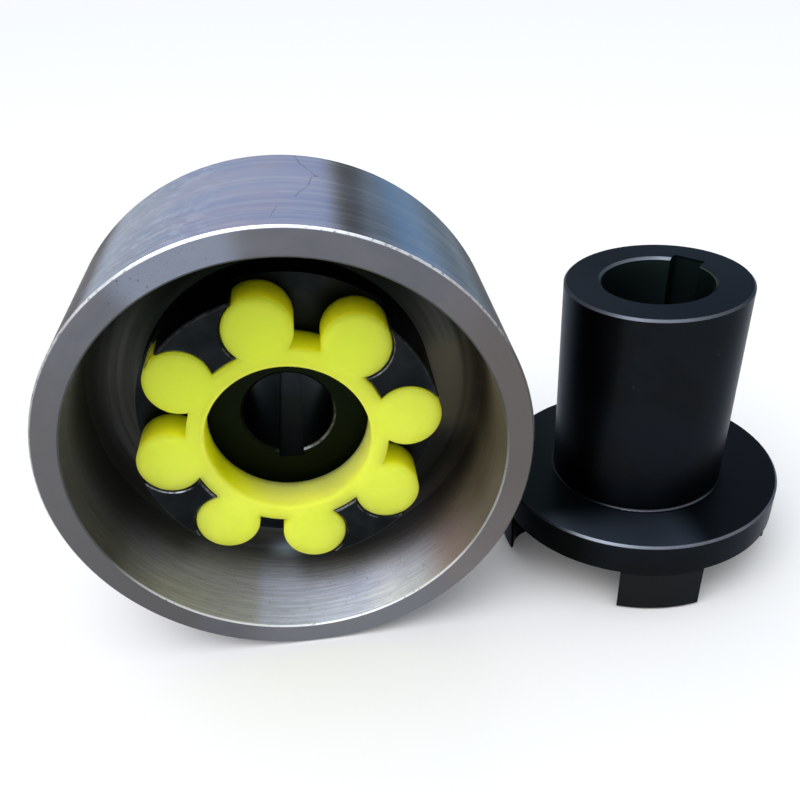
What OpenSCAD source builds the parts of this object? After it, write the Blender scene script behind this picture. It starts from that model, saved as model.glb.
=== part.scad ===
// Brake drum jaw coupling: a steel brake drum bolted to one jaw hub, the
// eight lobed elastic spider that sits between the jaws, and the second jaw
// hub taken off and stood on its jaws beside the drum.
// Millimetres. The drum's axis lies along Y and its open mouth faces -Y.
// The origin is on that axis, where the drum's web seats on the hub's flange.

/* [Brake drum] */
// Outside diameter, the face that the brake shoes grip
drum_d = 250; // [235:1:290]
// Width of the drum's rim along its axis
drum_w = 105; // [98:1:130]
// Thickness of the rim's wall
rim_wall = 14; // [10:0.5:18]
// Thickness of the web that joins the rim to the hub
web_t = 14; // [11:0.5:18]
// Depth of the jaw tips inside the drum's mouth
jaw_inset = 26.5; // [18:0.5:32]
// Radius of the fillets between the rim and the web
web_fillet = 8; // [3:0.5:10]
// Chamfer on the rim's outer edges
rim_chamfer = 1.2; // [0.5:0.1:2]
// Chamfer on the rim's inner edges
rim_inner_chamfer = 0.8; // [0.3:0.1:1.5]
// Radial play between the web's bore and the hub's boss
spigot_play = 0.05; // [0.02:0.01:0.2]

/* [Jaw hubs] */
// Diameter of both hubs' flanges
flange_d = 165; // [162:1:176]
// Thickness of both hubs' flanges
flange_t = 20; // [18.5:0.5:24]
// Height of the jaws above the flange
jaw_h = 28; // [27:0.5:32]
// Number of jaws on each hub
jaw_count = 4; // [3:1:4]
// Width of the opening that ends each pocket at the rim
pocket_mouth = 17.4; // [14:0.2:22]
// Outside diameter of the bosses
boss_d = 100; // [92:1:108]
// Fillet between a boss and its flange
boss_fillet = 1; // [0.5:0.1:4]
// Chamfer on the turned edges of flanges and bosses
edge_chamfer = 1.2; // [0.5:0.1:2]
// Chamfer on the edges of the jaw tips
jaw_chamfer = 1; // [0.4:0.1:1.5]
// Chamfer at both ends of the bores
bore_chamfer = 1.4; // [0.5:0.1:2.5]

/* [Drum hub] */
// Length of the drum's hub from the jaw side of its flange to its end
drum_hub_len = 112; // [80:1:140]
// Bore of the drum's hub
drum_bore_d = 50; // [42:0.5:60]
// Width of the keyway in the drum's hub
drum_key_w = 14; // [12:1:18]
// Depth of that keyway beyond the bore
drum_key_t = 3.8; // [3:0.1:5]
// Angle of that keyway, seen from the drum's mouth
drum_key_turn = -93.6; // [-180:0.1:180]

/* [Free hub] */
// Length of the free hub from the jaw side of its flange to its end
free_hub_len = 142; // [110:1:180]
// Bore of the free hub
free_bore_d = 60; // [48:0.5:70]
// Width of the keyway in the free hub
free_key_w = 18; // [14:1:20]
// Depth of that keyway beyond the bore
free_key_t = 4.4; // [3:0.1:6]
// Angle of that keyway, seen from above
free_key_turn = 39.7; // [-180:0.1:180]

/* [Spider] */
// Diameter of a lobe
lobe_d = 35.6; // [33:0.2:37]
// Distance of the lobes' outermost line inside the rim of the flange
lobe_inset = 0.2; // [0:0.1:2]
// Depth to which the lobes reach into the ring that joins them
lobe_root = 6.8; // [4:0.2:9]
// Thickness of that ring between its inner and its outer wall
ring_wall = 9.5; // [7:0.5:13]
// Length of the lobes along the axis
spider_t = 25; // [21:0.5:26]
// Drop from the lobes' end faces down to the ring's
ring_drop = 0.6; // [0.2:0.1:1.5]
// Radius of the moulded edges of the lobes
lobe_edge = 2.6; // [0.6:0.1:3.5]
// Radius of the moulded edges of the ring
ring_edge = 1.2; // [0.4:0.1:3]
// Amount by which the lobes stand out past the jaw tips
spider_proud = 0.5; // [0:0.1:1.5]
// Gap between a lobe and the jaw's hollow side
lobe_play = 0.3; // [0.1:0.05:0.8]
// Gap between the ring and the inner face of the jaws
ring_play = 0.8; // [0.3:0.1:1.5]

/* [Drum bolts] */
// Number of bolts that hold the drum to its hub
bolt_count = 8; // [4:1:8]
// Thread diameter of the bolts
bolt_d = 10; // [8:0.5:11]
// Length of the bolts under the head
bolt_len = 30; // [27:0.5:32]
// Width of the bolt heads across flats
head_af = 16; // [15:0.5:18]
// Height of the bolt heads
head_h = 6.4; // [5:0.2:8]
// Chamfer at the bolts' points
bolt_point = 1; // [0.5:0.1:1.5]
// Diametral clearance of the bolts in the web's holes
bolt_clearance = 1; // [0.4:0.1:1.6]
// Outside diameter of the spring washers
washer_od = 18.1; // [17.5:0.1:20]
// Thickness of the spring washers
washer_t = 2.2; // [1.6:0.1:2.8]
// Radial play of the spring washers on the bolts
washer_play = 0.15; // [0.1:0.05:0.3]
// Width of the slit in the spring washers
washer_slit = 1.2; // [0.6:0.1:2]
// Lean of that slit from the bolt's axis
slit_lean = 20; // [0:5:30]

/* [Placing] */
// Angle of the first lobe in the drum, seen from the drum's mouth
drum_turn = 5.4; // [-22:0.1:22]
// Angle of the free hub's first jaw, seen from above
free_turn = -6.3; // [-45:0.1:45]
// Room in plan between the drum's side and the free hub's flange
free_gap = 1.5; // [1:0.5:60]
// Place of the free hub along the drum's axis
free_y = 0; // [-60:1:60]

/* [Hidden] */
$fn = 96;
eps = 0.01;
past = 1;
lobe_count = 2 * jaw_count;
lobe_step = 360 / lobe_count;
drum_r = drum_d / 2;
drum_in_r = drum_r - rim_wall;
floor_z = -drum_r;
mouth_y = -(flange_t + jaw_h + jaw_inset);
rear_y = mouth_y + drum_w;
lobe_pitch_r = flange_d / 2 - lobe_inset - lobe_d / 2;
ring_out_r = lobe_pitch_r - lobe_d / 2 + lobe_root;
ring_in_r = ring_out_r - ring_wall;
pocket_r = lobe_d / 2 + lobe_play;
jaw_in_r = ring_out_r + ring_play;
bolt_pitch_r = (boss_d + flange_d) / 4;
free_x = drum_r + flange_d / 2 + free_gap;
thread_play = 0.05;
bolt_tip_y = web_t + washer_t - bolt_len;
tap_spare = 2.5;
seat_room = 0.4;
head_corner_r = head_af / sqrt(3);
head_crown = 0.6 * (head_corner_r - head_af / 2);

// Turns a solid of revolution from its own +Z axis to the drum's axis, so
// that its +Z points to the back of the drum.
module on_drum_axis() {
    rotate([-90, 0, 0]) children();
}

// Profile piece that fills the corner at the origin, with its round side
// towards +X and +Y.
module corner_fillet(r) {
    difference() {
        translate([-eps, -eps]) square(r + eps);
        translate([r, r]) circle(r);
    }
}

// Profile piece that cuts a 45 degree chamfer from a corner at the origin.
module corner_chamfer(c) {
    rotate(45) square(c * sqrt(2), center = true);
}

// The turned profile of the drum: radius along X, axial place along Y, with
// the web's seat on the flange at 0.
module drum_profile() {
    difference() {
        union() {
            translate([drum_in_r, mouth_y]) square([rim_wall, drum_w]);
            translate([boss_d / 2 + spigot_play, 0])
                square([drum_in_r - boss_d / 2 - spigot_play + eps, web_t]);
            translate([drum_in_r, 0]) mirror([1, 0]) mirror([0, 1]) corner_fillet(web_fillet);
            translate([drum_in_r, web_t]) mirror([1, 0]) corner_fillet(web_fillet);
        }
        for (y = [mouth_y, rear_y]) {
            translate([drum_r, y]) corner_chamfer(rim_chamfer);
            translate([drum_in_r, y]) corner_chamfer(rim_inner_chamfer);
        }
        translate([boss_d / 2 + spigot_play, web_t]) corner_chamfer(rim_chamfer);
        translate([boss_d / 2 + spigot_play, 0]) corner_chamfer(boss_fillet + seat_room);
    }
}

module brake_drum() {
    color([0.62, 0.62, 0.64])
    on_drum_axis()
    difference() {
        rotate_extrude($fn = 180) drum_profile();
        at_bolts() translate([0, 0, -past]) cylinder(d = bolt_d + bolt_clearance, h = web_t + 2 * past);
    }
}

// Places its children at each bolt of the drum, in the turned frame.
module at_bolts() {
    for (i = [0 : bolt_count - 1])
        rotate(-(drum_turn + lobe_step / 2 + i * 360 / bolt_count))
            translate([bolt_pitch_r, 0, 0]) children();
}

// Places its children at each lobe, the first at +X.
module at_lobes() {
    for (i = [0 : lobe_count - 1])
        rotate(i * lobe_step) translate([lobe_pitch_r, 0, 0]) children();
}

// Profile of a jaw hub before its jaws are cut: the axis is Y, the flange's
// jaw side is at 0 and the jaws hang below it.
module hub_profile(len, bore_d) {
    difference() {
        union() {
            translate([bore_d / 2, 0]) square([(flange_d - bore_d) / 2, flange_t]);
            translate([bore_d / 2, 0]) square([(boss_d - bore_d) / 2, len]);
            translate([jaw_in_r, -jaw_h]) square([flange_d / 2 - jaw_in_r, jaw_h + eps]);
            translate([boss_d / 2, flange_t]) corner_fillet(boss_fillet);
        }
        translate([flange_d / 2, flange_t]) corner_chamfer(edge_chamfer);
        translate([flange_d / 2, -jaw_h]) corner_chamfer(jaw_chamfer);
        translate([jaw_in_r, -jaw_h]) corner_chamfer(jaw_chamfer);
        translate([boss_d / 2, len]) corner_chamfer(edge_chamfer);
        translate([bore_d / 2, len]) corner_chamfer(bore_chamfer);
        translate([bore_d / 2, 0]) corner_chamfer(bore_chamfer);
    }
}

// The round pocket that a lobe fills, with a chamfered edge at the jaw tips
// and a straight opening to the rim, so that no jaw ends in a knife edge.
module lobe_pocket() {
    translate([0, 0, -jaw_h - past]) cylinder(r = pocket_r, h = jaw_h + past);
    translate([0, 0, -jaw_h - eps])
        cylinder(r1 = pocket_r + jaw_chamfer, r2 = pocket_r, h = jaw_chamfer);
    translate([0, -pocket_mouth / 2, -jaw_h - past])
        cube([flange_d / 2, pocket_mouth, jaw_h + past]);
}

// The room that the other hub's jaw takes between two neighbouring lobes.
module jaw_gap() {
    far_x = flange_d * cos(lobe_step / 2);
    far_y = flange_d * sin(lobe_step / 2);
    translate([0, 0, -jaw_h - past])
        linear_extrude(jaw_h + past) polygon([[0, 0], [far_x, -far_y], [far_x, far_y]]);
}

// A jaw hub standing on +Z: its jaws point down, its first jaw is centred at
// half a lobe step, and its keyway is at the angle key_turn.
module jaw_hub(len, bore_d, key_w, key_t, key_turn) {
    difference() {
        rotate_extrude($fn = 144) hub_profile(len, bore_d);
        at_lobes() lobe_pocket();
        for (i = [0 : jaw_count - 1]) rotate((2 * i + 1.5) * lobe_step) jaw_gap();
        rotate(key_turn) translate([0, -key_w / 2, -past])
            cube([bore_d / 2 + key_t, key_w, len + 2 * past]);
    }
}

module drum_hub() {
    color([0.10, 0.11, 0.14])
    on_drum_axis()
    difference() {
        translate([0, 0, -flange_t])
            rotate(-drum_turn - lobe_step)
                jaw_hub(drum_hub_len, drum_bore_d, drum_key_w, drum_key_t,
                        drum_turn + lobe_step - drum_key_turn);
        at_bolts() translate([0, 0, bolt_tip_y - tap_spare])
            cylinder(d = bolt_d + 2 * thread_play, h = tap_spare - bolt_tip_y + past);
    }
}

module free_hub() {
    color([0.09, 0.10, 0.13])
    translate([free_x, free_y, floor_z + jaw_h])
        rotate(free_turn - lobe_step / 2)
            jaw_hub(free_hub_len, free_bore_d, free_key_w, free_key_t,
                    free_key_turn - free_turn + lobe_step / 2);
}

// Profile of a moulded disc or ring: a rectangle with both outer corners
// rounded, and both inner ones too where it has a hole.
module rounded_section(r_in, r_out, h, edge) {
    difference() {
        translate([r_in, 0]) square([r_out - r_in, h]);
        translate([r_out, 0]) mirror([1, 0]) corner_fillet(edge);
        translate([r_out, h]) mirror([1, 0]) mirror([0, 1]) corner_fillet(edge);
        if (r_in > 0) {
            translate([r_in, 0]) corner_fillet(edge);
            translate([r_in, h]) mirror([0, 1]) corner_fillet(edge);
        }
    }
}

module spider() {
    color([0.88, 0.93, 0.10])
    on_drum_axis()
    translate([0, 0, -flange_t - jaw_h - spider_proud])
    rotate(-drum_turn) {
        translate([0, 0, ring_drop])
            rotate_extrude($fn = 120)
                rounded_section(ring_in_r, ring_out_r, spider_t - 2 * ring_drop, ring_edge);
        at_lobes() rotate_extrude($fn = 64) rounded_section(0, lobe_d / 2, spider_t, lobe_edge);
    }
}

// A hexagon bolt with its head seat at 0 and its shank towards -Z.
module hex_bolt() {
    intersection() {
        cylinder(r = head_corner_r, h = head_h, $fn = 6);
        union() {
            cylinder(r = head_corner_r + past, h = head_h - head_crown);
            translate([0, 0, head_h - head_crown])
                cylinder(r1 = head_corner_r, r2 = 0.49 * head_af, h = head_crown);
        }
    }
    translate([0, 0, bolt_point - bolt_len])
        cylinder(d = bolt_d, h = bolt_len - bolt_point + eps, $fn = 48);
    translate([0, 0, -bolt_len])
        cylinder(d1 = bolt_d - 2 * bolt_point, d2 = bolt_d, h = bolt_point + eps, $fn = 48);
}

module drum_bolts() {
    color([0.20, 0.20, 0.22])
    on_drum_axis()
    at_bolts() translate([0, 0, web_t + washer_t]) hex_bolt();
}

module spring_washers() {
    color([0.30, 0.30, 0.32])
    on_drum_axis()
    at_bolts() translate([0, 0, web_t])
    difference() {
        cylinder(d = washer_od, h = washer_t, $fn = 64);
        translate([0, 0, -past])
            cylinder(d = bolt_d + 2 * washer_play, h = washer_t + 2 * past, $fn = 64);
        translate([washer_od / 4 + bolt_d / 4, 0, washer_t / 2])
            rotate([slit_lean, 0, 0]) cube([washer_od, washer_slit, 4 * washer_t], center = true);
    }
}

brake_drum();
drum_hub();
drum_bolts();
spring_washers();
spider();
free_hub();
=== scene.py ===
# %% [markdown]
# # A brake drum coupling, taken apart on a white table
# The real thing joins a motor's shaft to a machine that must be stopped by
# shoes. A turned steel drum is bolted to one blackened hub, a yellow elastic
# spider sits between that hub's jaws, and the second hub stands beside it on
# its own jaws. The solids come from the CAD pack and are already in place, in
# metres, so this lesson is about light, machined metal and moulded elastomer.

# %% Load the packed solids
import math
import bmesh
import bpy
from mathutils import Matrix, Vector


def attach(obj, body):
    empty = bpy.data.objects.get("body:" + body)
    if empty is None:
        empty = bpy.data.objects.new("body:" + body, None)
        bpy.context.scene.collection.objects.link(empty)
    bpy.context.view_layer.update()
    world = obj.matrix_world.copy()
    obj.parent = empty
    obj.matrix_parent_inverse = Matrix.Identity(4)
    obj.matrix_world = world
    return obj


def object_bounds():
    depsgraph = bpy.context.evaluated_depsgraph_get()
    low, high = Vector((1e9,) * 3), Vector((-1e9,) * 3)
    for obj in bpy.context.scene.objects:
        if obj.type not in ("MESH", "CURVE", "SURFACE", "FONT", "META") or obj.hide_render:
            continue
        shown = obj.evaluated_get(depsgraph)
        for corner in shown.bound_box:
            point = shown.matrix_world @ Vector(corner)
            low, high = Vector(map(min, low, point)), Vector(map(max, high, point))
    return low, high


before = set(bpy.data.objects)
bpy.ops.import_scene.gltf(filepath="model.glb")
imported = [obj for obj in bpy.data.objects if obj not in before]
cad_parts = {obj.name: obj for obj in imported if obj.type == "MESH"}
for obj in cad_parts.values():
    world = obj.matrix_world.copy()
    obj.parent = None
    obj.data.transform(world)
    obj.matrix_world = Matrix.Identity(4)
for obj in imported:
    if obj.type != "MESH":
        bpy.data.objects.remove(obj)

cad_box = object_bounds()
MM = 0.001
print("pieces from the pack:", sorted(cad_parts))

# %% [markdown]
# ## Where the camera stood
# The rims of the drum show as ellipses, and so do the rims of the free hub.
# Their sizes and places tell where the lens was: in front of the mouth, a
# little to the right, and looking down by 37 degrees. The camera could be
# placed by eye, but then no edge would fall quite where the picture has it,
# so its place and turn were worked out from those ellipses. A shift of the
# frame stands in for the crop of the picture.

# %% The camera
lens_place = Vector((0.03336, -0.41780, 0.24412))
lens_turn = Matrix((
    (0.99294, 0.11796, -0.01258),
    (-0.08065, 0.59352, -0.80077),
    (-0.08699, 0.79613, 0.59884),
))
camera_data = bpy.data.cameras.new("camera")
camera_data.sensor_width = 36
camera_data.lens = 37.699
camera_data.shift_x = 0.04057
camera_data.shift_y = 0.10188
camera_data.clip_start = 0.01
camera_data.clip_end = 50
camera = bpy.data.objects.new("camera", camera_data)
camera.matrix_world = Matrix.Translation(lens_place) @ lens_turn.to_4x4()
bpy.context.scene.collection.objects.link(camera)
bpy.context.scene.camera = camera
bpy.context.scene.view_settings.view_transform = "Standard"
print("camera", round(camera_data.lens, 1), "mm, looking down",
      round(math.degrees(math.asin(-(lens_turn @ Vector((0, 0, -1))).z)), 1), "degrees")

# %% [markdown]
# ## Sums on a surface
# Every finish below depends on a place: how far a point is from the drum's
# axis, how deep it lies, which way round it sits. Such masks could be drawn
# as pictures and wrapped round the solids, but sums need no unwrapping and
# stay sharp from any distance. A small helper lets them be written as plain
# arithmetic, and each sum becomes one Math node.


# %% A value that runs through a material's nodes
class Wire:
    def __init__(self, tree, socket):
        self.tree, self.socket = tree, socket

    def sum_of(self, kind, *others):
        node = self.tree.nodes.new("ShaderNodeMath")
        node.operation = kind
        for slot, value in enumerate((self,) + others):
            if isinstance(value, Wire):
                self.tree.links.new(value.socket, node.inputs[slot])
            else:
                node.inputs[slot].default_value = value
        return Wire(self.tree, node.outputs[0])

    def __add__(self, other): return self.sum_of("ADD", other)
    def __sub__(self, other): return self.sum_of("SUBTRACT", other)
    def __mul__(self, other): return self.sum_of("MULTIPLY", other)
    def __truediv__(self, other): return self.sum_of("DIVIDE", other)
    def size(self): return self.sum_of("ABSOLUTE")
    def sine(self): return self.sum_of("SINE")
    def cosine(self): return self.sum_of("COSINE")
    def least(self, other): return self.sum_of("MINIMUM", other)
    def most(self, other): return self.sum_of("MAXIMUM", other)
    def power(self, other): return self.sum_of("POWER", other)
    def angle_from(self, other): return self.sum_of("ARCTAN2", other)

    def between(self, low, high):
        """0 at low, 1 at high, smooth in between; low may be above high."""
        node = self.tree.nodes.new("ShaderNodeMapRange")
        node.interpolation_type = "SMOOTHSTEP"
        flip = low > high
        node.inputs["From Min"].default_value = min(low, high)
        node.inputs["From Max"].default_value = max(low, high)
        node.inputs["To Min"].default_value = 1.0 if flip else 0.0
        node.inputs["To Max"].default_value = 0.0 if flip else 1.0
        self.tree.links.new(self.socket, node.inputs["Value"])
        return Wire(self.tree, node.outputs["Result"])

    def near(self, place, reach):
        """1 where the value is about place, falling to 0 at reach from it."""
        return (self - place).size().between(reach, reach * 0.55)

    def wrapped(self, low, high):
        """The value folded back into one step of a pattern that repeats."""
        return self.sum_of("WRAP", high, low)


def root_of_squares(a, b):
    return (a * a + b * b).power(0.5)


print("sums:", [name for name in vars(Wire) if not name.startswith("_")])

# %% [markdown]
# A finish is one material with a Principled shader. The helper gives it that
# shader, the surface's own millimetres, and the two textures that machined
# and moulded surfaces need: cloudy noise, and scattered cells for pits. Its
# colours are laid one over the other, like coats of paint through stencils,
# because that is easy to follow and to change one coat at a time.


# %% A finish, its textures and its coats of colour
TO_MM = 1000.0


class Finish:
    def __init__(self, name):
        self.material = bpy.data.materials.new(name)
        self.material.use_nodes = True
        self.tree = self.material.node_tree
        self.shader = next(n for n in self.tree.nodes if n.type == "BSDF_PRINCIPLED")
        place = self.tree.nodes.new("ShaderNodeTexCoord")
        split = self.tree.nodes.new("ShaderNodeSeparateXYZ")
        self.tree.links.new(place.outputs["Object"], split.inputs[0])
        self.place = place.outputs["Object"]
        self.x, self.y, self.z = (Wire(self.tree, split.outputs[i]) * TO_MM for i in range(3))

    def vector(self, x, y, z):
        node = self.tree.nodes.new("ShaderNodeCombineXYZ")
        for slot, value in enumerate((x, y, z)):
            if isinstance(value, Wire):
                self.tree.links.new(value.socket, node.inputs[slot])
            else:
                node.inputs[slot].default_value = value
        return node.outputs[0]

    def clouds(self, where, scale=1.0, detail=3.0, rough=0.55):
        node = self.tree.nodes.new("ShaderNodeTexNoise")
        node.inputs["Scale"].default_value = scale
        node.inputs["Detail"].default_value = detail
        node.inputs["Roughness"].default_value = rough
        self.tree.links.new(where, node.inputs["Vector"])
        return Wire(self.tree, node.outputs["Fac"])

    def specks(self, where, scale, size, share):
        """Small round spots: size is their radius in cells, share how many cells have one."""
        node = self.tree.nodes.new("ShaderNodeTexVoronoi")
        node.inputs["Scale"].default_value = scale
        self.tree.links.new(where, node.inputs["Vector"])
        split = self.tree.nodes.new("ShaderNodeSeparateColor")
        self.tree.links.new(node.outputs["Color"], split.inputs[0])
        chosen = Wire(self.tree, split.outputs[0]).between(1.0 - share, 1.0 - share * 0.8)
        return Wire(self.tree, node.outputs["Distance"]).between(size, size * 0.4) * chosen

    def blend(self, amount, first, second):
        """first where amount is 0, second where it is 1; each a colour or another blend."""
        node = self.tree.nodes.new("ShaderNodeMix")
        node.data_type = "RGBA"
        self.tree.links.new(amount.socket, node.inputs[0])
        for slot, value in ((6, first), (7, second)):
            if isinstance(value, tuple):
                node.inputs[slot].default_value = (*value, 1.0)
            else:
                self.tree.links.new(value, node.inputs[slot])
        return node.outputs[2]

    def coats(self, colour, *over):
        """Each later coat covers what lies under it where its amount is 1."""
        for amount, coat in over:
            colour = self.blend(amount, colour, coat)
        return colour

    def paint(self, colour, roughness, height, depth):
        self.tree.links.new(colour, self.shader.inputs["Base Color"])
        self.tree.links.new(roughness.socket, self.shader.inputs["Roughness"])
        bump = self.tree.nodes.new("ShaderNodeBump")
        bump.inputs["Strength"].default_value = 1.0
        bump.inputs["Distance"].default_value = depth * MM
        self.tree.links.new(height.socket, bump.inputs["Height"])
        self.tree.links.new(bump.outputs["Normal"], self.shader.inputs["Normal"])
        return bump

    def turned_about(self, axis, stretch):
        """Lathe grooves run round the axis, so highlights stretch across them."""
        tangent = self.tree.nodes.new("ShaderNodeTangent")
        tangent.direction_type = "RADIAL"
        tangent.axis = axis
        self.tree.links.new(tangent.outputs[0], self.shader.inputs["Tangent"])
        self.shader.inputs["Anisotropic"].default_value = stretch
        self.shader.inputs["Anisotropic Rotation"].default_value = 0.25

    def give_to(self, name):
        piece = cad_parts[name]
        piece.data.materials.clear()
        piece.data.materials.append(self.material)
        print("finish", self.material.name, "on", name)


print("a finish has:", [name for name in vars(Finish) if not name.startswith("_")])

# %% [markdown]
# ## The light
# The picture was taken out of doors in open shade. Bare metal is a mirror,
# so what shows on it is mostly the sky, and the sky has to be right before
# any finish can be. A picture of a real sky would bring one place's clouds
# and houses with it, so a plain sky is worked out instead: nearly white at
# the horizon, a little dimmer above it in front, brighter on the left, and
# brightest overhead, where it is also a little bluer. Behind the drum it is
# an even white.

# %% The sky
AT_HORIZON, IN_FRONT, BEHIND = 0.23, 0.76, 0.98
HIGH_LEFT, LOW_LEFT, OVERHEAD = 1.0, 0.45, 0.75
BACK_FROM, BACK_FULL = -0.1, 0.35
world = bpy.data.worlds.new("pale_sky")
bpy.context.scene.world = world
world.use_nodes = True
sky = world.node_tree
look = sky.nodes.new("ShaderNodeTexCoord")
parts = sky.nodes.new("ShaderNodeSeparateXYZ")
sky.links.new(look.outputs["Generated"], parts.inputs[0])
side, ahead, up = (Wire(sky, parts.outputs[i]) for i in range(3))
behind = ahead.between(BACK_FROM, BACK_FULL)
high_left = up.between(0.60, 0.88) * side.between(0.9, -0.4)
low_left = side.between(-0.15, -0.70) * up.between(0.65, 0.35)
front_level = up.between(0.36, 0.20) * AT_HORIZON + high_left * HIGH_LEFT
front_level = front_level + low_left * LOW_LEFT + IN_FRONT
level = front_level + (front_level * -1.0 + BEHIND) * behind
level = level + up.between(0.60, 0.97) * OVERHEAD
tint = sky.nodes.new("ShaderNodeMix")
tint.data_type = "RGBA"
sky.links.new(up.between(0.55, 0.90).socket, tint.inputs[0])
tint.inputs[6].default_value = (0.98, 0.99, 1.0, 1)
tint.inputs[7].default_value = (0.88, 0.94, 1.0, 1)
background = sky.nodes["Background"]
sky.links.new(level.socket, background.inputs["Strength"])
sky.links.new(tint.outputs[2], background.inputs["Color"])
print("sky of", len(sky.nodes), "nodes")

# %% [markdown]
# The ground outside of the drum shows three bands along its length: the white
# sky, one dark gap like a post, and a dim blue as of a far wall. A bent screen
# behind the drum on the right gives the last two. It stands so far off that
# it acts like a piece of the sky, only reflections and soft light meet it, and
# the pictures from other sides keep their plain background. The gap leans
# with height, because turned steel smears its reflections upward. At its far
# end the screen thins out to nothing.

# %% The screen that the drum's outside mirrors
SCREEN_R, SCREEN_TOP = 12.0, 18.0
GAP_LEVEL, SKY_ABOVE_GAP, WALL_ABOVE_GAP = 0.23, 0.73, 0.34
GAP_LEFT, GAP_RIGHT = (11.8, 7.0), (14.5, 18.5)
GAP_LEAN, LEAN_FROM = 37.0, 0.2
posts = [math.radians(turn) for turn in range(-4, 102, 2)]
corners = [(SCREEN_R * math.sin(turn), SCREEN_R * math.cos(turn), height)
           for turn in posts for height in (cad_box[0][2], SCREEN_TOP)]
screen_mesh = bpy.data.meshes.new("far_screen")
screen_mesh.from_pydata(corners, [],
                        [(i, i + 1, i + 3, i + 2) for i in range(0, len(corners) - 2, 2)])
screen = bpy.data.objects.new("far_screen", screen_mesh)
bpy.context.scene.collection.objects.link(screen)
screen.visible_camera = False
far = Finish("far_screen")
climb = far.z / root_of_squares(root_of_squares(far.x, far.y), far.z)
bearing = far.x.angle_from(far.y) * math.degrees(1) - (climb - LEAN_FROM) * GAP_LEAN
left_sky = bearing.between(*GAP_LEFT)
blue_wall = bearing.between(*GAP_RIGHT)
far_level = left_sky * SKY_ABOVE_GAP + blue_wall * WALL_ABOVE_GAP + GAP_LEVEL
far_colour = far.blend(blue_wall, (0.98, 0.99, 1.0), (0.72, 0.86, 1.0))
thinned = (far.y / SCREEN_R * MM).between(BACK_FROM, BACK_FULL)
far.shader.inputs["Base Color"].default_value = (0, 0, 0, 1)
far.shader.inputs["Specular IOR Level"].default_value = 0.0
far.tree.links.new(far_level.socket, far.shader.inputs["Emission Strength"])
far.tree.links.new(far_colour, far.shader.inputs["Emission Color"])
far.tree.links.new(thinned.socket, far.shader.inputs["Alpha"])
screen_mesh.materials.append(far.material)
print("screen of", len(posts), "posts,", SCREEN_R, "m away")

# %% [markdown]
# One soft panel, up on the left and on the camera's side, stands for the
# brightest part of the sky. It lights the right and the bottom of the
# drum's inside, and leaves its left wall and its top in shade. A sun lamp
# would give hard shadows, which the picture doesn't have.

# %% The brightest part of the sky
PANEL_SIDE, PANEL_RADIANCE = 1.3, 2.3
PANEL_PLACE, LIT_PLACE = Vector((-0.75, -0.85, 1.60)), Vector((0.02, -0.04, 0))
panel_data = bpy.data.lights.new("open_sky", "AREA")
panel_data.shape = "RECTANGLE"
panel_data.size, panel_data.size_y = PANEL_SIDE, PANEL_SIDE
panel_data.energy = PANEL_RADIANCE * math.pi * panel_data.size * panel_data.size_y
panel = bpy.data.objects.new("open_sky", panel_data)
panel.location = PANEL_PLACE
panel.rotation_euler = (LIT_PLACE - PANEL_PLACE).to_track_quat("-Z", "Y").to_euler()
panel.visible_camera = False
bpy.context.scene.collection.objects.link(panel)
print("panel", round(panel_data.energy, 1), "watts")

# %% [markdown]
# The table top is one large sheet. It is a shade under white, so that it
# renders as paper white and still shows the soft shadow under each piece. A
# trace of glow, which only the camera and mirrors see, lifts it the rest of
# the way, because more light on it would wash out the pieces as well.

# %% The table
TABLE_REACH = 40.0
UNDER_THE_PIECES = 0.0002
GLOW = 0.02
table_mesh = bpy.data.meshes.new("table")
table_mesh.from_pydata([(x * TABLE_REACH, y * TABLE_REACH, 0)
                        for x, y in ((-1, -1), (1, -1), (1, 1), (-1, 1))], [], [(0, 1, 2, 3)])
table = bpy.data.objects.new("table", table_mesh)
table.location = (0, 0, cad_box[0][2] - UNDER_THE_PIECES)
bpy.context.scene.collection.objects.link(table)
table_finish = Finish("table_white")
table_finish.shader.inputs["Base Color"].default_value = (0.785, 0.768, 0.76, 1)
table_finish.shader.inputs["Roughness"].default_value = 0.9
table_finish.shader.inputs["Specular IOR Level"].default_value = 0.1
paths = table_finish.tree.nodes.new("ShaderNodeLightPath")
seen = Wire(table_finish.tree, paths.outputs["Is Camera Ray"])
seen = seen.most(Wire(table_finish.tree, paths.outputs["Is Glossy Ray"]))
seen = seen.most(Wire(table_finish.tree, paths.outputs["Is Transmission Ray"]))
table_finish.shader.inputs["Emission Color"].default_value = (1, 1, 1, 1)
table_finish.tree.links.new((seen * GLOW).socket, table_finish.shader.inputs["Emission Strength"])
table_mesh.materials.append(table_finish.material)
print("table at z", round(table.location.z, 4), "m")

# %% [markdown]
# ## Turned steel
# The drum was faced and bored on a lathe, and its outside was ground. Each
# face could have a material of its own, but the packed mesh stays as it is,
# so one finish tells the faces apart by radius and depth: the outside, the
# flat faces of the rim, the wall inside, the fillet in its corner, the web.

# %% Places on the drum
DRUM_R, INNER_R = 125.0, 111.0
MOUTH_Y, REAR_Y = -74.5, 30.5
FLANGE_R = 82.5
WEB_FILLET = 8.0
steel = Finish("turned_steel")
drum_r = root_of_squares(steel.x, steel.z)
to_right = steel.x / drum_r
to_top = steel.z / drum_r
outside = drum_r.between(DRUM_R - 0.9, DRUM_R - 0.3)
at_mouth = steel.y.between(MOUTH_Y + 0.9, MOUTH_Y + 0.3)
at_rear = steel.y.between(REAR_Y - 0.9, REAR_Y - 0.3)
faces = at_mouth.most(at_rear) * drum_r.between(INNER_R + 0.6, INNER_R + 1.0)
inner_wall = drum_r.between(INNER_R + 0.9, INNER_R + 0.5)
inner_wall = inner_wall * drum_r.between(INNER_R - WEB_FILLET + 0.5, INNER_R - 1.0)
web_corner = drum_r.between(INNER_R - WEB_FILLET - 4.0, INNER_R - WEB_FILLET + 1.0)
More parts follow.
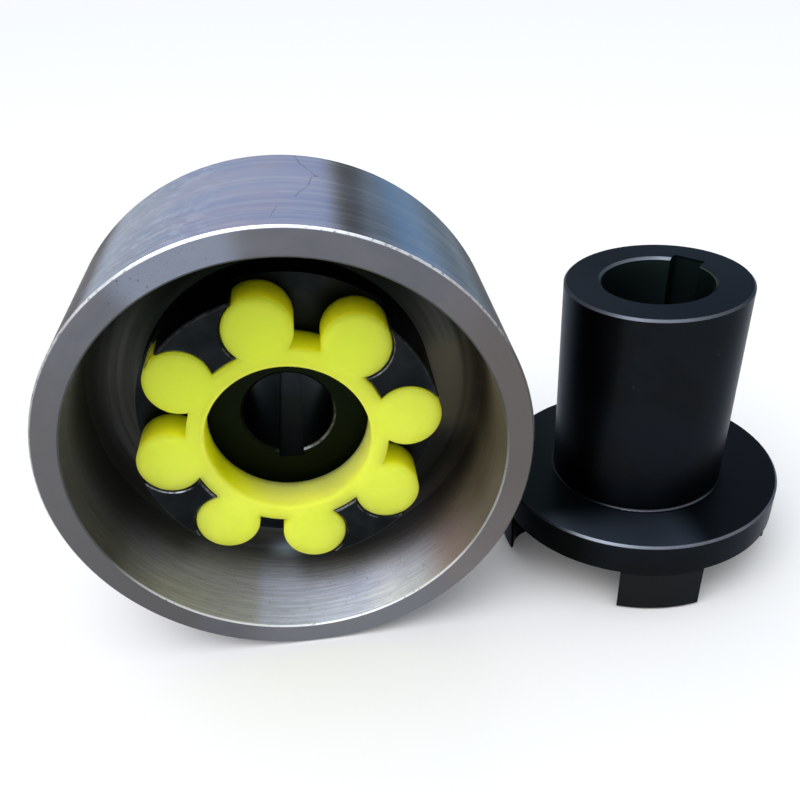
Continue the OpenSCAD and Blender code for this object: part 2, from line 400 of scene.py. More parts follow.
web_corner = web_corner * drum_r.between(INNER_R, INNER_R - 1.0)
print("drum from y", MOUTH_Y, "to", REAR_Y, "mm, radius", DRUM_R)

# %% [markdown]
# Seen close, such a surface is thousands of shallow rings. Modelled, they
# would cost millions of faces, so they are noise in the finish. Depth and
# radius added together give one number that runs across the rings on every
# face, so one noise, drawn out long round the axis, does the wall, the web
# and the rim. Four textures share the rings: fine ones give the grooves,
# broad ones the bands that a tool leaves when it is fed along, streaks the
# marks that run round for a few degrees, and smudges the film of oil.

# %% Lathe marks and smudges
across = steel.y + drum_r


def round_drum(rings, turns):
    """A place for noise that is fine across the rings and long round the drum."""
    return steel.vector(across * rings, to_right * turns, to_top * turns)


fine_rings = steel.clouds(round_drum(3.2, 1.2), 1.0, 4.0, 0.7)
tool_lines = steel.clouds(round_drum(0.85, 2.2), 1.0, 6.0, 0.75)
broad_rings = steel.clouds(round_drum(0.16, 0.7), 1.0, 3.0, 0.5)
streaks = steel.clouds(round_drum(0.5, 9.0), 1.0, 3.0, 0.6)
smudges = steel.clouds(round_drum(0.05, 3.0), 1.0, 4.0, 0.6)
slanting = steel.vector(across * 0.16 + to_right * 5.0, to_right * 16.0, to_top * 16.0)
scuffs = steel.clouds(slanting, 1.0, 4.0, 0.65)
pits = steel.specks(round_drum(0.30, 34.0), 1.0, 0.10, 0.16)
grains = steel.clouds(steel.place, 900.0, 3.0, 0.7)
print("lathe marks: noise in", len(steel.tree.nodes), "nodes")

# %% [markdown]
# The ground outside carries painted reflections of its surroundings, laid by
# direction: a violet cast on top, paler to the left and darker at the far left,
# an olive band, then a deeper blue and a dark band to the right, and a faint
# painted light band across its middle. Low on the sides it is plain ground
# steel. A colour ramp round the axis could do it, but its bands would be even,
# so each tone is a blend of two by the smudges, and is laid over the others in
# its own range of directions.

# %% The outside's colour
smudged = smudges.between(0.35, 0.65)
softly_smudged = smudges.between(0.30, 0.65)
violet = steel.blend(smudged, (0.235, 0.285, 0.46), (0.31, 0.30, 0.43))
pale = steel.blend(softly_smudged, (0.245, 0.295, 0.370), (0.285, 0.305, 0.365))
olive = steel.blend(smudged, (0.205, 0.215, 0.245), (0.225, 0.230, 0.250))
# Painted reflection: the far wall's blue, which the steel mirrors to the right.
painted_blue_reflection = steel.blend(smudged, (0.178, 0.335, 0.540), (0.200, 0.335, 0.510))
# Painted reflection: the dark band beyond the blue.
painted_dark_reflection = steel.blend(smudged, (0.048, 0.064, 0.076), (0.064, 0.076, 0.086))
plain_ground = steel.blend(softly_smudged, (0.220, 0.245, 0.295), (0.255, 0.265, 0.300))
lower_sides = to_top.between(0.46, 0.22)
# A faint painted light band across the middle of the outside.
painted_light_band = steel.y.near(-14.0, 27.0) * to_right.between(0.60, 0.35) * 0.18
ground = steel.coats(
    violet,
    (to_right.between(-0.18, -0.50), pale),
    (to_right.between(0.02, 0.20), (0.240, 0.280, 0.465)),
    (to_right.between(0.26, 0.34), olive),
    (to_right.between(0.44, 0.56), painted_blue_reflection),
    (to_right.between(0.58, 0.74), painted_dark_reflection),
    # Painted dark reflection at the far left.
    (to_right.between(-0.55, -0.69), (0.195, 0.178, 0.178)),
    (lower_sides, plain_ground),
    (painted_light_band, (0.46, 0.48, 0.60)),
)
print("outside coloured by", len(steel.tree.nodes), "nodes so far")

# %% [markdown]
# Paler rings run round the outside where the stone was dressed, and a patch
# on the upper left is scuffed by handling. A ring drawn whole would look
# printed, so the streaks break each one up. The scuffs are the slanting noise,
# kept to that patch: its high parts are rubbed metal, its low parts grime.

# %% Dressed rings and scuffs
DRESSED = ((-8.5, 1.6), (-14.0, 0.8), (-30.0, 1.3), (-57.0, 1.0), (-68.0, 2.2))
pale_rings = broad_rings.between(0.50, 0.72)
for depth, half_width in DRESSED:
    pale_rings = pale_rings.most(steel.y.near(depth, half_width) * streaks.between(0.30, 0.62))
scuffed = scuffs.between(0.50, 0.60) * to_right.between(-0.05, -0.25) * to_top.between(0.66, 0.82)
handled = scuffs.between(0.46, 0.34) * to_right.between(0.1, -0.35) * to_top.between(0.66, 0.82)
ground = steel.coats(
    ground,
    (pale_rings * 0.40, (0.46, 0.48, 0.56)),
    (scuffed * 0.36, (0.50, 0.55, 0.68)),
    (handled * 0.17, (0.15, 0.17, 0.235)),
)
print("dressed rings:", len(DRESSED))

# %% [markdown]
# A few hairs and fine scratches lie on top of the drum. Unrolled, the outside
# is a flat sheet of millimetres round by millimetres deep, and each scratch
# is a short straight stretch on it: the nearest distance to that stretch,
# with a little wander, says where the line is. Cut into the solid, lines this
# fine would need far smaller faces than it has.

# %% Scratches on the unrolled outside
SCRATCHES = (
    ((21.5, 27.0), (24.5, 14.0), 0.42),
    ((24.5, 14.0), (31.0, -2.0), 0.40),
    ((29.2, -6.0), (27.6, -17.0), 0.34),
    ((27.6, -17.0), (20.5, -37.0), 0.36),
    ((13.0, -50.0), (10.0, -64.0), 0.26),
    ((31.0, -3.5), (32.2, -2.5), 1.20),
    ((99.0, -11.0), (101.5, -13.0), 1.00),
)
round_mm = steel.x.angle_from(steel.z) * DRUM_R
wander = (steel.clouds(steel.place, 160.0, 2.0, 0.5) - 0.5) * 3.0


def scratch(start, end, half_width):
    run, rise = end[0] - start[0], end[1] - start[1]
    along = (round_mm - start[0]) * run + (steel.y - start[1]) * rise
    along = (along / (run * run + rise * rise)).most(0.0).least(1.0)
    gap = root_of_squares(round_mm + wander - start[0] - along * run,
                          steel.y - start[1] - along * rise)
    return gap.between(half_width, half_width * 0.35)


hairs = scratch(*SCRATCHES[0])
for line in SCRATCHES[1:]:
    hairs = hairs.most(scratch(*line))
ground = steel.blend(hairs * 0.60, ground, (0.035, 0.037, 0.045))
print("scratches:", len(SCRATCHES))

# %% [markdown]
# The faced rim is duller than the outside, because its turning marks are
# coarser. Its tones by place are painted light and shade: warmer on the right,
# darker on the left and lower left, lighter at the lower right and the bottom,
# and a bluish painted reflection at the upper left, where the casting was also
# a little porous. The pores are cells of two sizes, kept only where a fine
# grain lets them through.

# %% The rim's flat faces
# Painted light and shade on the rim, laid by place.
faced = steel.coats(
    steel.blend(smudges.between(0.3, 0.7), (0.130, 0.134, 0.156), (0.161, 0.160, 0.176)),
    (to_right.between(0.60, 0.95), (0.133, 0.119, 0.115)),
    (to_right.between(-0.70, -0.97) * 0.8, (0.123, 0.121, 0.122)),
    (to_right.near(-0.80, 0.32) * to_top.between(0.1, -0.35), (0.120, 0.118, 0.121)),
    (to_top.between(-0.10, -0.50) * to_right.between(0.60, 0.85), (0.162, 0.143, 0.142)),
    (to_top.between(-0.45, -0.75) * to_right.between(0.45, 0.75), (0.205, 0.183, 0.184)),
    (to_top.between(-0.62, -0.90) * to_right.near(0.20, 0.62), (0.195, 0.202, 0.228)),
    (to_right.near(-0.28, 0.29) * to_top.between(0.5, 0.9) * 0.8, (0.230, 0.262, 0.330)),
)
COARSE_PORES, FINE_PORES = 0.33, 0.75
porous = steel.specks(steel.vector(steel.x * COARSE_PORES, steel.z * COARSE_PORES, 0.5),
                      1.0, 0.28, 0.34) * 0.7
fine_pores = steel.specks(steel.vector(steel.x * FINE_PORES, steel.z * FINE_PORES, 0.5),
                          1.0, 0.42, 0.50)
porous = porous.most(fine_pores * 0.30) * to_right.near(-0.36, 0.26)
porous = porous * to_top.between(0.6, 0.85) * grains.between(0.38, 0.55)
print("pores about", round(1 / COARSE_PORES, 1), "and", round(1 / FINE_PORES, 1), "mm apart")

# %% [markdown]
# The wall inside was bored. Its right side is warm and brownish and its left
# side greenish and painted dim, as its shade, and low down it is painted
# bright, most of all to the right of the bottom. Each of these colours also
# changes with depth: painted darker deeper in, where less light reaches, and on
# the right painted lighter at the mouth.

# %% The bored wall's sides
lined = tool_lines.between(0.40, 0.62) * 0.7 + streaks.between(0.3, 0.7) * 0.3
# Painted shade: the left side dim, and darker deeper in.
bored_left = steel.coats(
    steel.blend(lined, (0.078, 0.077, 0.067), (0.120, 0.118, 0.106)),
    (steel.y.between(-58.0, -22.0), (0.050, 0.050, 0.042)),
)
# Painted shade deeper in on the right, and painted light at the lip by the mouth.
painted_shade_right = steel.y.between(-36.0, -12.0) * to_top.between(-0.05, -0.45)
painted_shade_low_right = steel.y.between(-50.0, -12.0) * to_top.between(-0.45, -0.10) * 0.85
painted_light_at_lip = steel.y.between(-48.0, -66.0) * to_top.between(-0.05, -0.30)
bored_right = steel.coats(
    steel.blend(lined, (0.145, 0.122, 0.083), (0.200, 0.170, 0.116)),
    (painted_shade_right.most(painted_shade_low_right), (0.050, 0.044, 0.034)),
    (painted_light_at_lip, (0.225, 0.195, 0.165)),
)
bored = steel.blend(to_right.between(-0.2, 0.2), bored_left, bored_right)
print("bored wall, radius", INNER_R, "mm")

# %% [markdown]
# The bottom of the wall faces the bright sky and is far lighter than its sides.
# Lamps alone leave it too dim and too even, so that light is painted into the
# steel's colour there as a painted highlight. It stops at a line whose depth
# depends on the direction, one painted highlight spot lies deeper, and a fine
# mottle breaks the shine.

# %% The bored wall's bright bottom
DIM_Y, BRIGHT_Y = -14.0, -54.0
# Painted highlight: the wall's lit bottom, lightest to the right.
painted_lit_bottom_left = steel.blend(lined, (0.38, 0.38, 0.43), (0.56, 0.55, 0.61))
painted_lit_bottom_right = steel.blend(lined, (0.70, 0.70, 0.85), (0.96, 0.97, 1.0))
painted_lit_bottom = steel.coats(
    steel.blend(lined, (0.43, 0.445, 0.60), (0.66, 0.68, 0.87)),
    (to_right.between(-0.25, -0.34), painted_lit_bottom_left),
    (to_right.between(0.20, 0.45), painted_lit_bottom_right),
    (to_right.between(0.55, 0.76), (0.57, 0.43, 0.44)),
)
reach_in = to_right.near(-0.36, 0.36) * 15.0 - to_right.between(0.30, 0.70) * 8.0
near_mouth = (steel.y - reach_in).between(DIM_Y, BRIGHT_Y) * 0.87 + 0.13
# A painted highlight spot in the corner deep down.
painted_glint_spot = (to_right + 0.15).size().between(0.13, 0.0)
painted_glint_spot = painted_glint_spot * (steel.y + 8.0).size().between(10.5, 0.0)
mottles = grains.between(0.57, 0.66) * scuffs.between(0.48, 0.60) * to_top.between(-0.1, -0.6)
bored = steel.coats(
    bored,
    (to_top.between(-0.36, -0.86) * near_mouth, painted_lit_bottom),
    (painted_glint_spot * to_top.between(-0.5, -0.9) * 0.9, (0.62, 0.74, 0.95)),
    (mottles * 0.6, (0.09, 0.08, 0.07)),
)
print("bottom of the wall: dim at y", DIM_Y, "mm, bright from", BRIGHT_Y, "mm")

# %% [markdown]
# The web is the wall across the drum that is bolted to the hub. In front its
# turning marks have a green tone, and painted shade lies over them: it is
# painted nearly black at the top and darker next to the hub's flange, with a
# painted lighter patch at the right and painted shade low on the right. Behind
# it is bare. The drum's colours are then laid together.

# %% The web, and the drum's colour put together
ring_tone = broad_rings.between(0.35, 0.65)
bare_back = steel.blend(ring_tone, (0.115, 0.117, 0.120), (0.165, 0.166, 0.168))
web_with_painted_shade = steel.coats(
    steel.blend(ring_tone, (0.060, 0.063, 0.057), (0.105, 0.107, 0.100)),
    # Painted shade: near black at the top and by the flange, dark low on the right; a painted
    # light patch at the right.
    (to_top.between(0.25, 0.85), (0.011, 0.0145, 0.0100)),
    (to_top.between(0.1, 0.9) * drum_r.between(FLANGE_R + 4.5, FLANGE_R + 1.5),
     (0.022, 0.029, 0.021)),
    (to_right.between(0.55, 0.85) * to_top.near(-0.05, 0.40), (0.125, 0.115, 0.085)),
    (to_right.between(0.35, 0.70) * to_top.between(-0.25, -0.50), (0.030, 0.031, 0.027)),
    (steel.y.between(5.0, 9.0), bare_back),
)
colour = steel.coats(web_with_painted_shade, (inner_wall, bored), (faces, faced), (outside, ground))
print("drum coloured by", len(steel.tree.nodes), "nodes")

# %% [markdown]
# Both edges of the rim were broken with a file. The narrow chamfers are bare
# bright metal, a little nicked, and they catch the sky as a white line. The
# solid has the chamfers already, so only their brightness is added here. The
# outer one is painted dimmer towards the right and dark at the far right, and
# the inner one is dark but for a painted highlight along its bottom and on an
# arc at its right.

# %% Bright chamfers
front_edge = steel.y.between(MOUTH_Y + 1.5, MOUTH_Y + 1.0)
nicks = steel.clouds(steel.place, 420.0, 3.0, 0.7)
outer_chamfer = drum_r.near(DRUM_R - 0.5, 0.9) * front_edge
outer_chamfer = outer_chamfer * drum_r.between(DRUM_R - 1.25, DRUM_R - 0.85)
# Painted light and shade on the outer chamfer: dimmer towards the right.
edge_light = steel.coats(
    steel.blend(to_right.between(-0.56, -0.70), (0.78, 0.79, 0.83), (0.46, 0.46, 0.48)),
    (to_right.between(0.62, 0.77), (0.44, 0.44, 0.45)),
    (to_right.between(0.80, 0.92), (0.12, 0.115, 0.11)),
)
inner_chamfer = drum_r.near(INNER_R + 0.4, 0.6) * steel.y.between(MOUTH_Y + 1.1, MOUTH_Y + 0.7)
# Painted highlight on the inner chamfer: its bottom and an arc at the right.
right_arc = to_right.between(0.65, 0.88) * to_top.between(0.25, -0.35) * 0.40
bright_arc = to_top.between(-0.35, -0.80).most(right_arc)
dark_spots = (pits * (faces + inner_wall * 0.8 + outside * 0.25)).most(porous * faces)
colour = steel.coats(
    colour,
    (outer_chamfer * nicks.between(0.26, 0.50), edge_light),
    (inner_chamfer, (0.10, 0.10, 0.105)),
    (inner_chamfer * bright_arc * nicks.between(0.30, 0.42), (0.78, 0.78, 0.80)),
    (dark_spots * 0.75, (0.025, 0.025, 0.028)),
)
print("chamfers at radius", DRUM_R, "and", INNER_R, "mm")

# %% [markdown]
# Turned steel shines across its grooves, so the highlight is stretched. It is
# smoothest outside, where it was ground. Seen at a flat angle any metal turns
# into a mirror, and the tint for that angle is lowered at the drum's left and
# right, because what it mirrors there in the picture is dark.

# %% The drum's shine
PLAIN_GRAZE = (0.72, 0.76, 0.82)
outer_skin = outside.most(outer_chamfer)
graze = steel.coats(
    steel.blend(to_right.between(0.56, 0.76) * outside, PLAIN_GRAZE, (0.46, 0.54, 0.62)),
    (to_right.between(0.76, 0.88) * outer_skin, (0.08, 0.09, 0.10)),
    (to_right.between(-0.54, -0.68) * outer_skin, (0.16, 0.150, 0.150)),
    (lower_sides * outside, PLAIN_GRAZE),
)
roughness = fine_rings * 0.10 + 0.17 + faces * 0.20 + inner_wall * 0.33 + web_corner * 0.42
roughness = roughness + drum_r.between(INNER_R - 6.0, INNER_R - 9.0) * 0.2
height = fine_rings * 0.5 + streaks * 0.2 - dark_spots * 1.5 - hairs * 0.5 + scuffed * 0.2
steel.shader.inputs["Metallic"].default_value = 1.0
steel.tree.links.new(graze, steel.shader.inputs["Specular Tint"])
steel.paint(colour, roughness, height, 0.012)
steel.turned_about("Y", 0.78)
steel.give_to("brake_drum")

# %% [markdown]
# ## Blackened steel
# Both hubs were turned, milled and then blackened in hot salts. The layer is
# thin, blue-black and satin. Where the drum hub's face lies deep behind the
# spider's ring it is painted darker and a little green, as its shade. Black
# paint would be a dull plastic, and this is still metal, so the finish is a
# very dark metal with fine rings.

# %% The hub in the drum
TIP_Y, FLANGE_FACE_Y, HUB_END_Y = -48.0, -20.0, 92.0
BOSS_R, JAW_IN_R, BORE_R = 50.0, 54.3, 25.0
LOBE_PITCH_R, LOBE_TURN, LOBE_STEP, POCKET_R = 64.5, 5.4, 45.0, 18.1
black = Finish("blackened_steel")
hub_r = root_of_squares(black.x, black.z)
hub_turn = black.z.angle_from(black.x)
hub_cloud = black.clouds(black.place, 60.0, 4.0, 0.6)
hub_ringed = black.vector((black.y + hub_r) * 2.5, black.x / hub_r * 1.5, black.z / hub_r * 1.5)
hub_rings = black.clouds(hub_ringed, 1.0, 3.0, 0.6)
hub_nicks = black.clouds(black.place, 500.0, 3.0, 0.7)
# Painted shade on the recessed face behind the spider's ring, with a green tone.
recess_painted_shade = hub_r.between(56.0, 52.0) * black.y.between(-30.0, -21.0) * black.y.between(60.0, 40.0)
black_colour = black.coats(
    black.blend(hub_cloud.between(0.35, 0.7), (0.008, 0.0095, 0.0105), (0.014, 0.0165, 0.018)),
    (recess_painted_shade, (0.0058, 0.0082, 0.0042)),
)
print("drum hub from y", TIP_Y, "to", HUB_END_Y, "mm")

# %% [markdown]
# The black is worn through on every sharp edge, where a bright line of bare
# steel runs round. A chamfer is the only surface that is both near the
# corner's radius and near its depth, so two ranges pick it out. The pockets
# in the jaws repeat every 45 degrees. Folding the angle back into one step
# gives the distance to the nearest pocket's centre, and with it the chamfer
# round that pocket at the jaw's tip. A painted highlight fills that line out
# on the lower left, and another lies on the bore's edge to the lower right.


# %% Worn edges of the jaws, and painted highlights
CHAMFER_FROM, CHAMFER_TO = 1.4, 1.1


def on_chamfer(radius, corner_r, depth, corner_depth):
    """1 on an outer corner's chamfer, where radius and depth are both near the corner."""
    return (depth.between(corner_depth - CHAMFER_FROM, corner_depth - CHAMFER_TO)
            * radius.between(corner_r - CHAMFER_FROM, corner_r - CHAMFER_TO))


folded = (hub_turn * math.degrees(1) - LOBE_TURN).wrapped(-LOBE_STEP / 2, LOBE_STEP / 2)
folded = folded * math.radians(1)
pocket_gap = root_of_squares(hub_r * folded.cosine() - LOBE_PITCH_R, hub_r * folded.sine())
at_tips = black.y.between(TIP_Y + 1.15, TIP_Y + 0.85)
# Painted highlight: the pocket edge at the lower left.
painted_glint_pocket = black.x.between(-38.0, -48.0) * black.z.between(2.0, -6.0)
painted_glint_pocket = painted_glint_pocket * black.z.between(-36.0, -30.0)
pocket_wear_and_glint = (hub_cloud.between(0.46, 0.60) * 0.5 + painted_glint_pocket).least(1.0)
wear_and_glints = hub_r.between(FLANGE_R - 1.3, FLANGE_R - 1.0) * at_tips * 0.3
wear_and_glints = wear_and_glints.most(hub_r.between(JAW_IN_R + 1.1, JAW_IN_R + 0.8) * at_tips * 0.5)
wear_and_glints = wear_and_glints.most(pocket_gap.near(POCKET_R + 0.75, 0.4) * at_tips * pocket_wear_and_glint)
# Painted highlight on the bore's edge, to the lower right.
bore_edge_glint = hub_r.near(BORE_R + 0.9, 0.7)
bore_edge_glint = bore_edge_glint * black.y.between(FLANGE_FACE_Y + 1.6, FLANGE_FACE_Y + 1.2)
wear_and_glints = wear_and_glints.most(bore_edge_glint * ((black.x * 0.9 - black.z).between(12.0, 30.0) * 0.6))
rear_edge = on_chamfer(hub_r, BOSS_R, black.y, HUB_END_Y)
bare = black.blend(hub_nicks.between(0.35, 0.6), (0.06, 0.063, 0.07), (0.26, 0.27, 0.29))
black_colour = black.coats(
    black_colour,
    (wear_and_glints * hub_cloud.between(0.28, 0.5), bare),
    (rear_edge * (hub_nicks.between(0.25, 0.55) * 0.4 + 0.4), (0.17, 0.18, 0.20)),
)
print("pockets every", LOBE_STEP, "degrees, radius", POCKET_R, "mm")

# %% [markdown]
# The black's shine is broad and soft. Its tint at flat angles is grey, because
# a full white there would turn the far side of each boss into a mirror. The
# turning marks stretch the highlight less than on the bright drum.

# %% The black's shine
BLACK_GRAZE = (0.60, 0.62, 0.65, 1)
black.shader.inputs["Metallic"].default_value = 1.0
black.shader.inputs["Specular Tint"].default_value = BLACK_GRAZE
black.paint(black_colour, hub_cloud * 0.10 + hub_rings * 0.06 + 0.29,
            hub_rings * 0.4 + hub_nicks * 0.3, 0.01)
black.turned_about("Y", 0.45)
black.give_to("drum_hub")

# %% [markdown]
# The free hub has the same black on it, but its axis stands upright, so its
# rings run about Z and it needs a finish of its own. Its flat top is painted
# bluer, a painted reflection of the open sky, its flange carries one painted
# sheen to the front left and painted shade on its left side, the inside of its
# bore is lighter, and its jaws are painted a little lighter, with painted shade
# on their left.

# %% The free hub's black
FREE_X, FREE_BORE_R = 209.0, 30.0
FLANGE_BOTTOM, FLANGE_TOP, BOSS_TOP = -97.0, -77.0, 45.0
free = Finish("free_hub_steel")
fx = free.x - FREE_X
free_r = root_of_squares(fx, free.y)
free_cloud = free.clouds(free.place, 22.0, 3.0, 0.5)
free_ringed = free.vector((free.z + free_r) * 2.5, fx / free_r * 1.5, free.y / free_r * 1.5)
free_rings = free.clouds(free_ringed, 1.0, 3.0, 0.6)
free_nicks = free.clouds(free.place, 500.0, 3.0, 0.7)
# Painted sheen: a painted reflection on the flange's top, dim at the left and bright at the front
# left.
sheen = free.coats(
    free.blend(fx.between(-60.0, -25.0), (0.0052, 0.0082, 0.0088), (0.0115, 0.0140, 0.0180)),
    (free.y.between(-35.0, -62.0) * fx.near(-30.0, 48.0), (0.1100, 0.1350, 0.1800)),
)
flange_flat = free_r.between(BOSS_R + 1.5, BOSS_R + 2.5)
flange_flat = flange_flat * free.z.between(FLANGE_TOP - 1.0, FLANGE_TOP - 0.3)
flange_left_shade = free_r.between(FLANGE_R - 0.9, FLANGE_R - 0.5) * fx.between(-36.0, -58.0)
in_bore = free_r.between(FREE_BORE_R + 9.0, FREE_BORE_R + 8.0)
in_bore = in_bore * free.z.between(BOSS_TOP - 0.2, BOSS_TOP - 2.0)
in_bore = in_bore * free.z.between(FLANGE_BOTTOM + 1.0, FLANGE_BOTTOM + 3.0)
jaw_depth = free.z.between(FLANGE_BOTTOM - 0.5, FLANGE_BOTTOM - 2.0)
free_colour = free.coats(
    free.blend(free_cloud.between(0.35, 0.65),
               (0.0085, 0.0095, 0.0100), (0.0095, 0.0115, 0.0150)),
    # The boss top painted bluer, a painted reflection of the sky.
    (free.z.between(BOSS_TOP - 0.4, BOSS_TOP - 0.1), (0.0180, 0.0245, 0.0345)),
    (flange_flat, sheen),
    # Painted shade on the flange's left side.
    (flange_left_shade, (0.0030, 0.0036, 0.0030)),
    (in_bore, (0.055, 0.085, 0.085)),
    # The jaws painted a little lighter, and painted shade on their left.
    (jaw_depth, (0.0150, 0.0165, 0.0175)),
    (jaw_depth * fx.between(-35.0, -50.0), (0.0030, 0.0035, 0.0030)),
)
print("free hub from z", FLANGE_BOTTOM, "to", BOSS_TOP, "mm")

# %% [markdown]
# Four of its edges are worn to bare steel: the top of the boss, the mouth of
# the bore, the rim of the flange, and the foot of the boss. They are painted
# brighter in front, where the sky meets them, and the mouth of the bore shows
# only on one arc: painted highlights on the wear.

# %% The free hub's worn edges and its shine
in_front = free.y.between(0.0, -44.0)
top_edge = on_chamfer(free_r, BOSS_R, free.z, BOSS_TOP) * (in_front * 0.42 + 0.16)
mouth_edge = free.z.between(BOSS_TOP - 1.6, BOSS_TOP - 1.3)
mouth_edge = mouth_edge * free_r.between(FREE_BORE_R + 1.5, FREE_BORE_R + 1.3)
mouth_edge = mouth_edge * (free.y - fx).between(-14.0, 16.0) * 0.6
flange_edge = on_chamfer(free_r, FLANGE_R, free.z, FLANGE_TOP)
boss_foot = free_r.between(BOSS_R - 0.1, BOSS_R + 0.1) * free_r.between(BOSS_R + 1.3, BOSS_R + 1.0)
boss_foot = boss_foot * free.z.between(FLANGE_TOP + 1.4, FLANGE_TOP + 1.0)
free_wear_and_glints = top_edge.most(mouth_edge).most(flange_edge * (in_front * 0.55 + 0.25))
free_wear_and_glints = free_wear_and_glints.most(boss_foot * fx.near(0.0, 38.0) * in_front * 0.30)
free_bare = free.blend(free_cloud.between(0.35, 0.65), (0.12, 0.13, 0.155), (0.19, 0.205, 0.24))
dust = free.specks(free.place, 70.0, 0.05, 0.25)
free_colour = free.coats(
    free_colour,
    (free_wear_and_glints * (free_nicks.between(0.20, 0.45) * 0.4 + 0.6), free_bare),
    (dust * 0.6, (0.05, 0.05, 0.055)),
)
free.shader.inputs["Metallic"].default_value = 1.0
free.shader.inputs["Specular Tint"].default_value = BLACK_GRAZE
free.paint(free_colour, free_cloud * 0.06 + free_rings * 0.05 + 0.29,
           free_rings * 0.4 + free_nicks * 0.3, 0.01)
free.turned_about("Z", 0.45)
free.give_to("free_hub")

# %% [markdown]
# ## Bolts and spring washers
# Behind the web, eight blackened bolts hold the drum on the hub, over spring
# washers of plain steel. They are small, so each finish is two shades of one
# metal, with a roughness that varies a little.


# %% Bolts and washers
def fastener(name, scale, dark, light, smoothest, node):
    finish = Finish(name)
    cloud = finish.clouds(finish.place, scale, 3.0, 0.6)
    finish.shader.inputs["Metallic"].default_value = 1.0
    finish.paint(finish.blend(cloud.between(0.35, 0.7), dark, light),
                 cloud * 0.2 + smoothest, cloud, 0.01)
    finish.give_to(node)


fastener("bolt_steel", 300.0, (0.030, 0.030, 0.034), (0.048, 0.048, 0.052), 0.3, "drum_bolts")
fastener("washer_steel", 400.0, (0.12, 0.12, 0.13), (0.22, 0.22, 0.23), 0.35, "spring_washers")

# %% [markdown]
# ## Yellow elastomer
# The spider is cast in one piece from a lemon yellow elastomer. Light goes
# deep into it, so its edges glow and its shadows stay yellow. A plain coloured
# plastic would look like painted wood, so light may scatter under the surface.
# The sides of the lobes and of the ring's bore are painted light: near full
# yellow, as a painted glow that lifts their shade, most on the lower left lobes
# and more saturated deeper in, and the bore paler on its right, where light
# falls, than on its shaded left. The upper left of the spider is painted darker,
# as the drum's rim shades it.

# %% The spider's colour
SPIDER_FACE_Y, RING_BORE_R, RING_OUT_R = -48.5, 44.0, 53.5
elastic = Finish("yellow_elastomer")
elastic_cloud = elastic.clouds(elastic.place, 90.0, 4.0, 0.6)
elastic_patch = elastic.clouds(elastic.place, 28.0, 2.0, 0.5)
elastic_r = root_of_squares(elastic.x, elastic.z)
into_depth = elastic.y.between(SPIDER_FACE_Y + 6.5, SPIDER_FACE_Y + 18.5)
lit_lower_left_lobes = elastic.x.between(-30.0, -50.0) * elastic.z.between(12.0, -6.0)
painted_glow_side = elastic.coats(
    elastic.blend(into_depth, (0.970, 0.998, 0.022), (0.975, 0.965, 0.010)),
    (lit_lower_left_lobes, (1.0, 1.0, 0.070)),
)
bore_painted_light = elastic.coats(
    elastic.blend(elastic.x.between(-12.0, -38.0), (0.958, 1.0, 0.14), (0.87, 0.955, 0.006)),
    (elastic.y.between(SPIDER_FACE_Y + 6.5, SPIDER_FACE_Y + 1.5), (0.76, 0.86, 0.075)),
)
lobe_side = elastic_r.between(RING_OUT_R - 4.0, RING_OUT_R - 0.7)
lobe_side = lobe_side * elastic.y.between(SPIDER_FACE_Y + 0.6, SPIDER_FACE_Y + 4.5)
lemon = elastic.coats(
    elastic.blend(elastic_cloud.between(0.3, 0.7), (0.690, 0.810, 0.058), (0.740, 0.850, 0.078)),
    (elastic_patch.between(0.4, 0.7) * 0.4, (0.70, 0.785, 0.052)),
    # Painted shade: the upper left of the spider darker, in the rim's shadow.
    ((elastic.z - elastic.x * 0.35).between(-15.0, 65.0), (0.590, 0.700, 0.038)),
    (lobe_side, painted_glow_side),
    (elastic_r.between(RING_BORE_R + 2.5, RING_BORE_R + 0.8), bore_painted_light),
)
print("spider's face at y", SPIDER_FACE_Y, "mm, ring from", RING_BORE_R, "to", RING_OUT_R)

# %% [markdown]
# A cast elastomer has no sharp edges. Cutting them round in the solid would
# change it, so a Bevel node bends the light round them instead: within its
# radius it turns the normal from one face smoothly to the next.

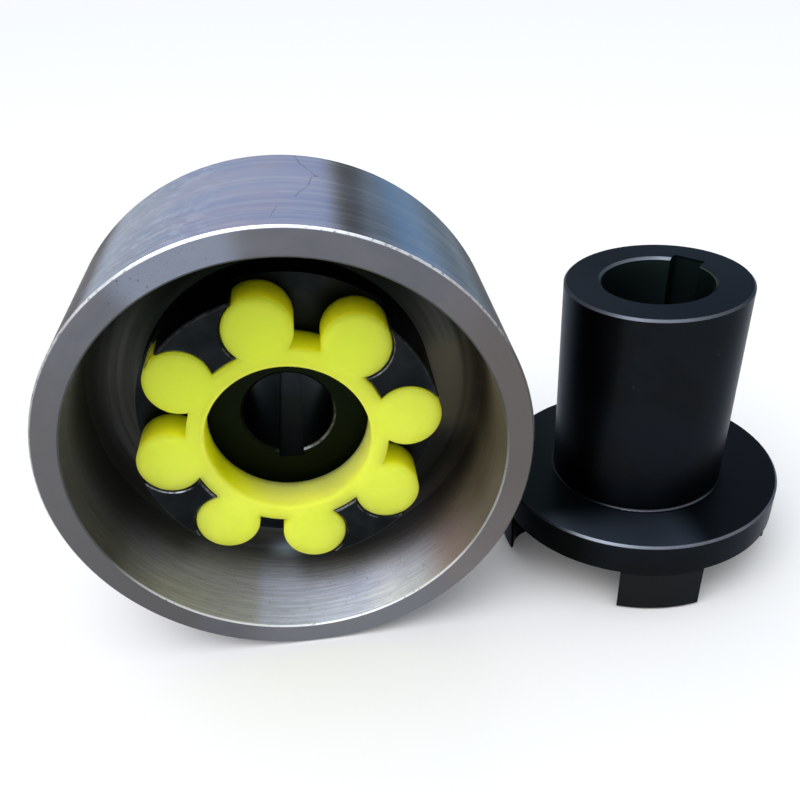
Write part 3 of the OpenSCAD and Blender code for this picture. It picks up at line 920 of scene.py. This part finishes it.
# %% The spider's glow and its soft edges
SOFT_EDGE = 7.0
elastic.shader.inputs["Subsurface Weight"].default_value = 1.0
elastic.shader.inputs["Subsurface Radius"].default_value = (1.0, 0.95, 0.10)
elastic.shader.inputs["Subsurface Scale"].default_value = 0.030
elastic.shader.inputs["Specular IOR Level"].default_value = 0.2
bump = elastic.paint(lemon, elastic_cloud * 0.2 + 0.38, elastic_cloud, 0.02)
rounded_edges = elastic.tree.nodes.new("ShaderNodeBevel")
rounded_edges.samples = 4
rounded_edges.inputs["Radius"].default_value = SOFT_EDGE * MM
elastic.tree.links.new(rounded_edges.outputs[0], bump.inputs["Normal"])
elastic.give_to("spider")

# %% [markdown]
# A sliver of flash stands up from the upper left lobe, where a little of the
# elastomer ran into the gap of the mould. It is a thin blade that narrows to
# a point. Rings of points along a bent line, joined by faces, make it, which
# gives a closed form whose width and thickness are set at each ring.


# %% The flash on one lobe
THIN_X, THIN_Z = 0.9, -0.42


def blade(name, line, widths, thicknesses, corners=10):
    mesh = bmesh.new()
    rings = []
    for place, width, thickness in zip(line, widths, thicknesses):
        ring = []
        for corner in range(corners):
            turn = 2 * math.pi * corner / corners
            offset = Vector((THIN_X * math.cos(turn) * thickness / 2,
                             math.sin(turn) * width / 2,
                             THIN_Z * math.cos(turn) * thickness / 2))
            ring.append(mesh.verts.new((Vector(place) + offset) * MM))
        rings.append(ring)
    for first, second in zip(rings, rings[1:]):
        for corner in range(corners):
            after = (corner + 1) % corners
            mesh.faces.new((first[corner], first[after], second[after], second[corner]))
    mesh.faces.new(rings[0])
    mesh.faces.new(rings[-1])
    bmesh.ops.recalc_face_normals(mesh, faces=mesh.faces)
    for face in mesh.faces:
        face.smooth = True
    data = bpy.data.meshes.new(name)
    mesh.to_mesh(data)
    mesh.free()
    piece = bpy.data.objects.new(name, data)
    bpy.context.scene.collection.objects.link(piece)
    return piece


flash = blade("lobe_flash",
              line=[(-63.3, -45.6, 51.6), (-62.2, -45.8, 54.0), (-61.0, -46.2, 56.4),
                    (-59.8, -46.6, 58.9), (-58.6, -46.8, 61.4), (-57.6, -46.9, 63.6),
                    (-56.9, -46.9, 65.4)],
              widths=[3.6, 3.0, 2.2, 1.6, 1.1, 0.7, 0.2],
              thicknesses=[1.2, 1.0, 0.8, 0.6, 0.45, 0.3, 0.1])
flash.data.materials.append(elastic.material)
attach(flash, "root")
print("flash", len(flash.data.polygons), "faces")

# %% [markdown]
# ## The end
